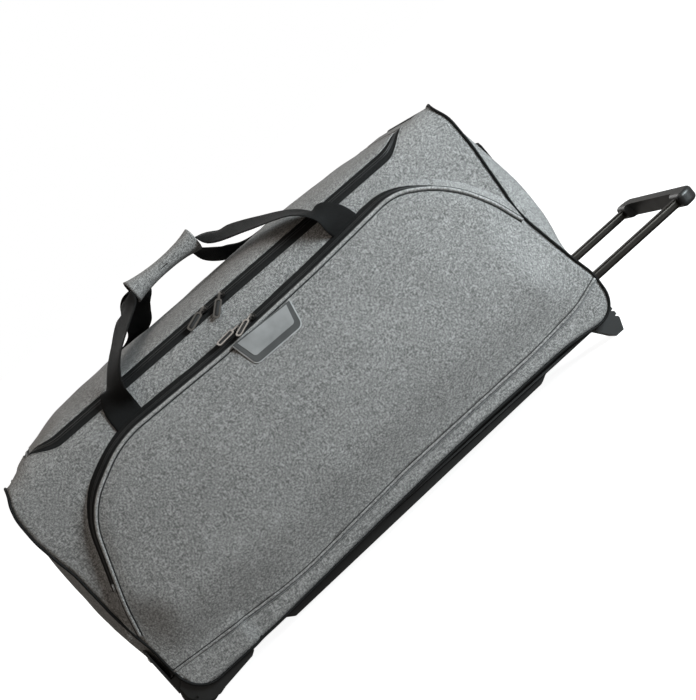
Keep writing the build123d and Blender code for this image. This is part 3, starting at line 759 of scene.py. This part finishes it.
def line_distance(q, line):
    """Distance of points (n, 2) to an open polyline."""
    best = np.full(len(q), 1e9)
    for (x0, y0), (x1, y1) in zip(line[:-1], line[1:]):
        dx, dy = x1 - x0, y1 - y0
        t = np.clip(((q[:, 0] - x0) * dx + (q[:, 1] - y0) * dy) / (dx * dx + dy * dy + 1e-12), 0, 1)
        best = np.minimum(best, np.hypot(q[:, 0] - x0 - t * dx, q[:, 1] - y0 - t * dy))
    return best


def polygon_distance(q, poly):
    """Signed distance of points (n, 2) to a closed polygon, positive inside."""
    line = np.vstack([poly, poly[:1]])
    inside = np.zeros(len(q), bool)
    for (x0, y0), (x1, y1) in zip(line[:-1], line[1:]):
        level = (y0 > q[:, 1]) != (y1 > q[:, 1])
        inside ^= level & (q[:, 0] < (x1 - x0) * (q[:, 1] - y0) / (y1 - y0 + 1e-12) + x0)
    best = line_distance(q, line)
    return np.where(inside, best, -best)


def pocket_rise(q):
    """How far the pocket stands in front of the bag: full at its zip, near nothing at its seams."""
    low = line_distance(q, pocket_low)
    wheel = line_distance(q, wheel_side)
    handle = line_distance(q, handle_side)
    return POCKET_RISE * step(-12, 90, low) * step(-8, 75, wheel) * step(-8, 80, handle)


def body_front(q):
    """y of the bag's own front face behind the pocket, at (x, z) points."""
    p = np.stack([q[:, 0], np.full(len(q), -HALF_W), q[:, 1]], axis=1)
    return soft(p)[:, 1]


def seam_base(q):
    """y of a piece sewn flat on the bag's front at (x, z)."""
    return np.minimum(-201.2, body_front(q) - 1.2)


def pocket_depth(q, d):
    """y of the pocket's face at (x, z), for points d mm in from its edge."""
    rise = pocket_rise(q)
    round_in = 0.2 * rise * (1 - step(0, 20, d))
    belly = 6.0 * step(0, 170, d)
    return seam_base(q) - rise - belly + round_in


xs = np.arange(-438, 459, GRID)
zs = np.arange(50, 408, GRID)
grid = np.stack([np.repeat(xs, len(zs)), np.tile(zs, len(xs))], axis=1)
dist = polygon_distance(grid, outline)
flat = np.stack([grid[:, 0], grid[:, 1], dist], axis=1)
V, faces = clip(flat, grid_faces(len(xs), len(zs)), dist)
q, d = V[:, :2], np.maximum(V[:, 2], 0)
face = np.stack([q[:, 0], pocket_depth(q, d), q[:, 1]], axis=1)
face = wrinkle(face, np.array([[0, -1.0, 0]]), CREASE * step(6, 90, d), 21.3, 130)
pocket_skin = obj_from("pocket_cloth", face, faces, CLOTH, None)
thicken(pocket_skin, 2.5, LINING)
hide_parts("pocket_flap", "pocket_lower_panel")

# the fold line that the flap opens on, its upward normal, and its point at x = 0
rise = (FOLD_B[1] - FOLD_A[1]) / (FOLD_B[0] - FOLD_A[0])
fold_n = np.array([-rise, 1.0]) / math.hypot(rise, 1)
fold_mid = np.array([0, FOLD_A[1] - rise * FOLD_A[0]])


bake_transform(pocket_skin)


def outward(path):
    """Normals of a path in the (x, z) plane, on its left side."""
    t = tangents(path)
    return np.stack([-t[:, 1], t[:, 0]], axis=1)


def pocket_line(path, grow, share, lift=0.0):
    """The pocket's edge moved outward by grow; share is 0 on the bag and 1 level with the pocket."""
    grow = np.broadcast_to(np.asarray(grow, float), len(path))
    q = path + outward(path) * grow[:, None]
    base = body_front(q)
    y = base + share * (seam_base(path) - 0.8 * pocket_rise(path) - base) - lift
    return np.stack([q[:, 0], y, q[:, 1]], axis=1)


def wall_line(path, down, lift=0.0):
    """A line on the pocket's side wall: down is 0 at the welt and 1 on the bag."""
    return pocket_line(path, 1.5 + 14.0 * down, 1.0 - 1.02 * down, lift)


for name, grow, share, radius, mat, lift in (
    ("pocket_welt_cord", -0.6, 1.0, 2.9, WELT, -0.6),
    ("pocket_welt_line", -4.2, 1.0, 1.0, THREAD, 0.9),
    ("pocket_welt_rim", 2.2, 0.94, 1.1, THREAD, 0.2),
):
    line = pocket_line(pocket_edge, grow, share, lift)
    o = tube(name, line, radius, mat, None, 10, up=(0, 1, 0))
    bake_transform(o)
y_seam = pocket_depth(pocket_low, np.zeros(len(pocket_low)))
for name, grow, radius, mat in (
    ("pocket_seam_fold", 2.2, 2.4, CLOTH),
    ("pocket_seam_line", -0.6, 0.9, THREAD),
    ("pocket_seam_stitch", 6.2, 0.7, GREY_THREAD),
):
    x, z = (pocket_low + outward(pocket_low) * grow).T
    line = np.stack([x, y_seam, z], axis=1)
    o = tube(name, line, radius, mat, "body", 10, up=(0, 1, 0))

# which stretch of the edge is zipped: above the fold line
above = (pocket_edge - fold_mid) @ fold_n > 2
first, last = np.argmax(above), len(above) - np.argmax(above[::-1])
zipped = pocket_edge[first:last]

# the zip fills the wall along the top and thins out down the sides
zip_x = zipped[:, 0]
zip_w = (0.50 + 0.50 * step(-400, -310, zip_x)) * (0.14 + 0.86 * step(356, 240, zip_x))
for name, node, body, rows in (
    ("pocket_zip_tape_outer", "pocket_zip_flap_tape", "pocket", (0.0, 0.2, 0.43)),
    ("pocket_zip_tape_inner", "pocket_zip_body_tape", "body", (0.46, 0.65, 0.82, 1.0)),
):
    o = strip(name, [wall_line(zipped, r * zip_w, 0.4) for r in rows], TAPE_M, 1.0, body)
    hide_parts(node)
for name, down, body in (
    ("pocket_zip_coil_outer", 0.38, "pocket"),
    ("pocket_zip_coil_inner", 0.52, "body"),
):
    o = tube(name, wall_line(zipped, down * zip_w, 0.8), 0.9, COIL, body, 8, up=(0, 1, 0))
o = tube("pocket_zip_stop", wall_line(zipped[:3], 0.25, 1.6), 2.0, WELT, "body", 8, up=(0, 1, 0))

for name, path, top in (
    ("pocket_side_wheel", pocket_edge[: first + 1], 0.0),
    ("pocket_side_zipped", zipped, zip_w - 0.06),
    ("pocket_side_handle", pocket_edge[last - 1:], 0.0),
):
    lines = [wall_line(path, top + (1.12 - top) * t) for t in np.linspace(0, 1, 6)]
    o = strip(name, lines, CLOTH, 1.2, "body")


# ------------------------------------------------------------------ badge
def plate(name, corners, radius, y_front, mat, bevel):
    """A thin moulded plate that faces the front, its two low corners rounded."""
    pts = [corners[0]]
    for i in (1, 2):
        pts += corner_points(corners, i, radius, 8)
    pts.append(corners[3])
    m = len(pts)
    verts = [(x, BADGE_BACK, z) for x, z in pts] + [(x, y_front, z) for x, z in pts]
    faces = [tuple(range(m)), tuple(range(m, 2 * m))[::-1]]
    faces += [(i, i + m, (i + 1) % m + m, (i + 1) % m) for i in range(m)]
    o = obj_from(name, verts, faces, mat, None, smooth=False)
    bev = o.modifiers.new("bevel", "BEVEL")
    bev.width = bevel * MM
    bev.segments = 2
    bev.limit_method = "ANGLE"
    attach(o, "pocket")
    return o


rim = [(-47, 388), (-37, 342), (55, 341), (64, 383)]
border = [(-45.2, 388.5), (-35.4, 344), (53.4, 343), (62.2, 383.5)]
panel = [(-38, 386.5), (-30, 354), (47, 353), (55, 382)]
for name, corners, radius, y_front, mat, bevel in (
    ("badge_rim", rim, 12, -228.2, BADGE_RIM, 0.7),
    ("badge_border", border, 10.5, -228.9, BADGE_DARK, 0.4),
    ("badge_panel", panel, 6, -229.4, BADGE_FACE, 0.4),
):
    o = plate(name, corners, radius, y_front, mat, bevel)
    if name == "badge_rim":
        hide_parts("badge_patch")


# ------------------------------------------------------------------ webbing straps
def catmull(points, gap=6.0):
    """A smooth line through the points, evenly spaced."""
    p = np.asarray(points, float)
    p = np.vstack([2 * p[0] - p[1], p, 2 * p[-1] - p[-2]])
    out = []
    for i in range(1, len(p) - 2):
        for k in range(24):
            t = k / 24
            a, b, c, d = p[i - 1: i + 3]
            square, cube = 2 * a - 5 * b + 4 * c - d, 3 * b - a - 3 * c + d
            out.append(0.5 * (2 * b + (c - a) * t + square * t * t + cube * t ** 3))
    out.append(p[-2])
    return resample(np.array(out), gap)


def webbing(name, centre, across, thick, body=None):
    """A flat strap, thinner at its selvedges: centre line, and the direction across it."""
    c = np.asarray(centre, float)
    w = np.asarray(across, float)
    t = tangents(c)
    w = w - t * (w * t).sum(axis=1, keepdims=True)
    w /= np.linalg.norm(w, axis=1, keepdims=True)
    n = np.cross(t, w)
    row = [(u * WEB_W / 2, thick / 2 * (1.0 if abs(u) < 0.95 else 0.55)) for u in np.linspace(-1, 1, 13)]
    ring = row + [(a, -b) for a, b in row[::-1]]
    verts = np.concatenate([[c[i] + a * w[i] + b * n[i] for a, b in ring] for i in range(len(c))])
    return obj_from(name, verts, ring_faces(len(c), len(ring)), WEB, body)


# Each strap is sewn to the wall, twists as it rises over the bag's shoulder, and lies flat in
# the wrap. A station is a point of the middle line, then the direction across the strap.
front_left = [
    ((-230, -201.4, 386), (1, 0, 0)),
    ((-230, -202.6, 412), (1, 0, 0)),
    ((-227, -205.0, 434), (0.93, -0.35, -0.1)),
    ((-214, -206.0, 458), (0.62, -0.78, 0.1)),
    ((-190, -176.0, 482), (0.5, -0.85, 0.1)),
    ((-154, -112.0, 504), (0.42, -0.9, 0.0)),
    ((-118, -46.0, 524), (0.35, -0.92, -0.1)),
    ((-88, -12.0, 541.4), (0, -1, 0)),
]
front_right = [
    ((206, -201.4, 386), (-1, 0, 0)),
    ((204, -202.6, 412), (-1, 0, 0)),
    ((193, -206.0, 438), (-0.92, -0.4, 0.0)),
    ((172, -206.0, 462), (-0.5, -0.84, 0.15)),
    ((149, -172.0, 482), (-0.45, -0.86, 0.0)),
    ((112, -112.0, 501), (-0.5, -0.82, -0.12)),
    ((70, -48.0, 521), (-0.45, -0.84, -0.22)),
    ((36, -12.0, 541.4), (0, -1, 0)),
]
rear_left = [
    ((-225, 201.4, 386), (-1, 0, 0)),
    ((-222, 203.0, 415), (-1, 0, 0.05)),
    ((-202, 203.0, 440), (-0.78, -0.15, 0.55)),
    ((-166, 186.0, 460), (-0.62, -0.5, 0.5)),
    ((-132, 150.0, 472), (-0.85, -0.45, 0.2)),
    ((-112, 106.0, 484), (-0.95, -0.28, 0.1)),
    ((-104, 64.0, 502), (-0.92, -0.35, 0.25)),
    ((-96, 24.0, 522), (-0.7, -0.4, 0.6)),
    ((-78, -4.0, 534.0), (-0.2, -0.85, 0.5)),
    ((-50, -12.0, 538.6), (0, -1, 0)),
]
rear_right = [
    ((205, 201.4, 386), (1, 0, 0)),
    ((202, 203.0, 415), (1, 0, 0.05)),
    ((184, 203.0, 440), (0.78, -0.15, 0.55)),
    ((148, 186.0, 460), (0.62, -0.5, 0.5)),
    ((114, 150.0, 472), (0.85, -0.45, 0.2)),
    ((84, 106.0, 484), (0.9, -0.4, 0.0)),
    ((60, 62.0, 500), (0.8, -0.6, -0.1)),
    ((44, 24.0, 518), (0.6, -0.7, -0.4)),
    ((24, -6.0, 534.0), (0.1, -0.95, -0.2)),
    ((2, -12.0, 538.6), (0, -1, 0)),
]


def strap_lines(left, right):
    """Middle line and across directions of one strap, from its left end to its right end."""
    rows = np.array([[*p, *w] for p, w in left + right[::-1]], float)
    rows[:, 3:] *= 60  # so that a turn of the strap counts as length when points are spread
    line = catmull(rows, 8.0)
    return line[:, :3], line[:, 3:]


for name, node, side, left, right in (
    ("carry_strap_front_web", "front_carry_strap", -1, front_left, front_right),
    ("carry_strap_rear_web", "rear_carry_strap", 1, rear_left, rear_right),
):
    c, w = strap_lines(left, right)
    o = webbing(name, c, w, 2.3)
    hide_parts(node)
    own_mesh(o)
    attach(o, "body")


# ------------------------------------------------------------------ grip wrap
def wrap_shape(x):
    """Half width and half height of the grip wrap along x."""
    t = (x - (WRAP_X0 + WRAP_X1) / 2) / ((WRAP_X1 - WRAP_X0) / 2)
    flare = np.abs(t) ** 2.2
    return 27.5 + 4.5 * flare, 12.5 + 8.0 * flare


def grip_wrap(rings=40, sides=48, squareness=2.6):
    """Points and faces of the sleeve round both straps, open at its ends."""
    verts = []
    for x in np.linspace(WRAP_X0, WRAP_X1, rings):
        w, h = wrap_shape(x)
        for k in range(sides):
            a = 2 * math.pi * k / sides
            c, s = math.cos(a), math.sin(a)
            r = (abs(c) ** squareness + abs(s) ** squareness) ** (-1 / squareness)
            verts.append((x, GRIP_Y + w * r * c, GRIP_Z + h * r * s))
    verts = np.array(verts)
    middle = np.c_[verts[:, 0], np.full(len(verts), GRIP_Y), np.full(len(verts), GRIP_Z)]
    verts = wrinkle(verts, (verts - middle) / 30.0, 1.1, 31.0, 40)
    return verts, ring_faces(rings, sides, caps=False)


verts, faces = grip_wrap()
wrap_o = obj_from("carry_grip_sleeve", verts, faces, CLOTH, None)
thicken(wrap_o, 3.5, LINING)
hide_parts("carry_grip_wrap")
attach(wrap_o, "body")
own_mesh(wrap_o)


# ------------------------------------------------------------------ end grab handle
GRAB_Z = 335.0
ys = np.array([-100, -84, -70, -45, 0, 45, 70, 84, 100.0])
rest_on = np.stack([np.full(len(ys), HALF_L), ys, np.full(len(ys), GRAB_Z)], axis=1)
lifted = np.array([3.5, 4.5, 8, 12, 12.5, 12, 8, 4.5, 3.5])
rest_on[:, 0] += end_bulge(rest_on, *HANDLE_BULGE) + lifted
c = catmull(rest_on, 7)
o = webbing("grab_handle_web", c, np.tile([0, 0, 1.0], (len(c), 1)), 2.6, "body")
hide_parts("end_grab_handle")


# ------------------------------------------------------------------ inserts of the zip pulls
# Every pull is a metal loop whose opening holds a black rubber tab.
S = math.sqrt(0.5)
LEAN = math.atan2(12.0, 22.0)
main_axis = (-145 - 61.5 * S, 413 + 61.5 * S)
main_hang = (-math.sin(math.radians(30)), -math.cos(math.radians(30)))
pocket_axis = (-212 - math.sin(LEAN) * 6.5, 392 + 12 * (222 - 212) / 22 + math.cos(LEAN) * 6.5)
pocket_hang = (-math.cos(math.radians(38)), -math.sin(math.radians(38)))


def pull_insert(name, body, x, axis, hang, turn):
    """Rubber tab filling a pull's loop, with a rib down its middle."""
    half_w, near, far, base, rib, thick = 3.1, 12.4, 37.6, 2.1, 0.85, 0.5
    a = math.radians(-turn)
    ex = np.array([1.0, 0, 0])
    ez = np.array([0, hang[1], -hang[0]])
    ey = np.cross(ez, ex)
    origin = np.array([x, *axis])
    profile = [(-1.0, 0.0), (-0.72, 0.55), (-0.3, 0.6), (0, 1.0), (0.3, 0.6), (0.72, 0.55), (1.0, 0.0)]
    verts, faces = [], []
    rows = np.linspace(near, far, 14)
    for r in rows:
        t = min(r - near, far - r)
        w = half_w * math.sqrt(max(0.02, 1 - max(0, 1 - t / 2.6) ** 2))
        for u, h in profile:
            lx, ly, lz = u * w, -r, base + (rib * h if t > 0.1 else 0)
            px = lx * math.cos(a) - ly * math.sin(a)
            py = lx * math.sin(a) + ly * math.cos(a)
            verts.append(origin + ex * px + ey * py + ez * lz)
    n = len(profile)
    m = len(verts)
    verts += [v - ez * thick for v in verts]
    for i in range(len(rows) - 1):
        for k in range(n - 1):
            f = (i * n + k, i * n + k + 1, (i + 1) * n + k + 1, (i + 1) * n + k)
            faces += [f[::-1], tuple(v + m for v in f)]
    last = (len(rows) - 1) * n
    edge = list(range(n)) + [i * n + n - 1 for i in range(1, len(rows))]
    edge += list(range(last + n - 2, last - 1, -1)) + [i * n for i in range(len(rows) - 2, 0, -1)]
    for i, v in enumerate(edge):
        w = edge[(i + 1) % len(edge)]
        faces.append((v, w, w + m, v + m))
    o = obj_from(name, verts, faces, RUBBER, body)


for name, body, x, axis, hang, turn in (
    ("main_pull_left_tab", "main_pull_l", -38, main_axis, main_hang, 70),
    ("main_pull_right_tab", "main_pull_r", -5, main_axis, main_hang, 47),
    ("pocket_pull_left_tab", "pocket_pull_l", -20, pocket_axis, pocket_hang, 84),
    ("pocket_pull_right_tab", "pocket_pull_r", 6, pocket_axis, pocket_hang, 64),
):
    pull_insert(name, body, x, axis, hang, turn)


# ------------------------------------------------------------------ finishes of the CAD pieces
def dress(names, mat, bevel=0.0, segments=2):
    """Gives CAD pieces their material, and a small bevel that a render shows as worn edges."""
    for name in names:
        o = nodes[name]
        o.data.materials.clear()
        o.data.materials.append(mat)
        if bevel:
            m = o.modifiers.new("edge", "BEVEL")
            m.width = bevel * MM
            m.segments = segments
            m.limit_method = "ANGLE"
            m.angle_limit = math.radians(35)
            m.harden_normals = False


dress(["wheel_housing_front", "wheel_housing_rear"], PLASTIC, 1.2, 3)
dress(["skid_rails", "handle_exit_plate", "tube_anchor_block"], PLASTIC, 0.8)
dress(["foot_front", "foot_rear"], RUBBER, 0.6)
dress(["tyre_front", "tyre_rear"], RUBBER)
dress(["hub_front", "hub_rear"], PLASTIC, 0.5)
dress([f"{part}_tube_{side}" for part in ("outer", "stage1", "stage2") for side in ("front", "rear")], TUBE)
dress(["stage1_collars", "stage2_guides"], PLASTIC, 0.4)
dress(["grip_upper_shell", "grip_lower_shell", "release_button"], GRIP)
dress(["wheel_axles", "rivets", "latch_pin_front", "latch_pin_rear", "push_rods"], STEEL)
dress(["base_board", "channel_cover"], BOARD, 0.5)
for place in ("main", "pocket"):
    dress([f"{place}_slider_left", f"{place}_slider_right"], SLIDER_M, 0.3)
    dress([f"{place}_pull_left", f"{place}_pull_right"], PULL_M, 0.35)


# ------------------------------------------------------------------ stage, light, camera
def stage_material():
    """A floor that glows near white, so that the object's shadow on it stays faint."""
    m = Mat("pale_floor", roughness=0.9, specular=0.05)
    m.colour(m.ramp(m.noise(2.0, 1.0), [(0.3, (0.50, 0.50, 0.50)), (0.7, (0.52, 0.52, 0.52))]))
    m.b.inputs["Emission Color"].default_value = (1, 1, 1, 1)
    m.b.inputs["Emission Strength"].default_value = 0.93
    return m.m


FLOOR = 60000.0
floor_verts = [(a * FLOOR, b * FLOOR, 0) for a, b in ((-1, -1), (1, -1), (1, 1), (-1, 1))]
floor = obj_from("studio_floor", floor_verts, [(0, 1, 2, 3)], stage_material(), None, smooth=False)
floor.visible_diffuse = False
floor.visible_glossy = False

# white to look at, but dimmer as a light, so that black trim stays black
world = bpy.data.worlds.new("studio")
bpy.context.scene.world = world
world.use_nodes = True
wt = world.node_tree
back_node = wt.nodes["Background"]
back_node.inputs[0].default_value = (1, 1, 1, 1)
back_node.inputs[1].default_value = 1.0
dim_node = wt.nodes.new("ShaderNodeBackground")
dim_node.inputs[0].default_value = (1, 0.955, 0.90, 1)
dim_node.inputs[1].default_value = 0.21
path_node = wt.nodes.new("ShaderNodeLightPath")
mix_node = wt.nodes.new("ShaderNodeMixShader")
wt.links.new(path_node.outputs["Is Camera Ray"], mix_node.inputs[0])
wt.links.new(dim_node.outputs[0], mix_node.inputs[1])
wt.links.new(back_node.outputs[0], mix_node.inputs[2])
wt.links.new(mix_node.outputs[0], wt.nodes["World Output"].inputs[0])


def area(name, loc, target, size, power, colour=(1, 1, 1)):
    """A rectangular light at loc that points at target."""
    light = bpy.data.lights.new(name, "AREA")
    light.shape = "RECTANGLE"
    light.size, light.size_y = size
    light.energy = power
    light.color = colour
    o = bpy.data.objects.new(name, light)
    bpy.context.scene.collection.objects.link(o)
    o.location = loc
    o.rotation_euler = (Vector(target) - Vector(loc)).to_track_quat("-Z", "Y").to_euler()


area("key_light", (1.75, -1.5, 0.75), (0.45, -0.2, 0.12), (1.0, 1.0), 84, (0.86, 0.96, 1.0))
area("fill_light", (-1.6, -2.6, 1.8), (-0.2, 0, 0.25), (2.0, 2.0), 10, (1.0, 0.84, 0.68))
area("top_light", (-0.3, 0.4, 2.8), (0, 0, 0.3), (2.0, 1.6), 22, (1.0, 0.98, 0.95))
area("back_light", (0.4, 3.0, 1.8), (0, 0, 0.25), (2.0, 1.4), 20)

# the camera that was fitted to the photo: lens, place, and its right and up directions
CAM_LENS = 90.81
CAM_AT = Vector((-0.28692, -2.82192, 0.59436))
CAM_RIGHT = Vector((0.74114, -0.18597, -0.64508))
CAM_UP = Vector((0.65671, 0.00127, 0.75414))

cam = bpy.data.cameras.new("camera")
cam.lens = CAM_LENS
cam.sensor_width = 36
cam.clip_end = 100
cam_o = bpy.data.objects.new("camera", cam)
bpy.context.scene.collection.objects.link(cam_o)
back = CAM_RIGHT.cross(CAM_UP).normalized()
up = back.cross(CAM_RIGHT).normalized()
m = Matrix((CAM_RIGHT.normalized(), up, back)).transposed().to_4x4()
m.translation = CAM_AT
cam_o.matrix_world = m
bpy.context.scene.camera = cam_o
bpy.context.scene.view_settings.view_transform = "Standard"
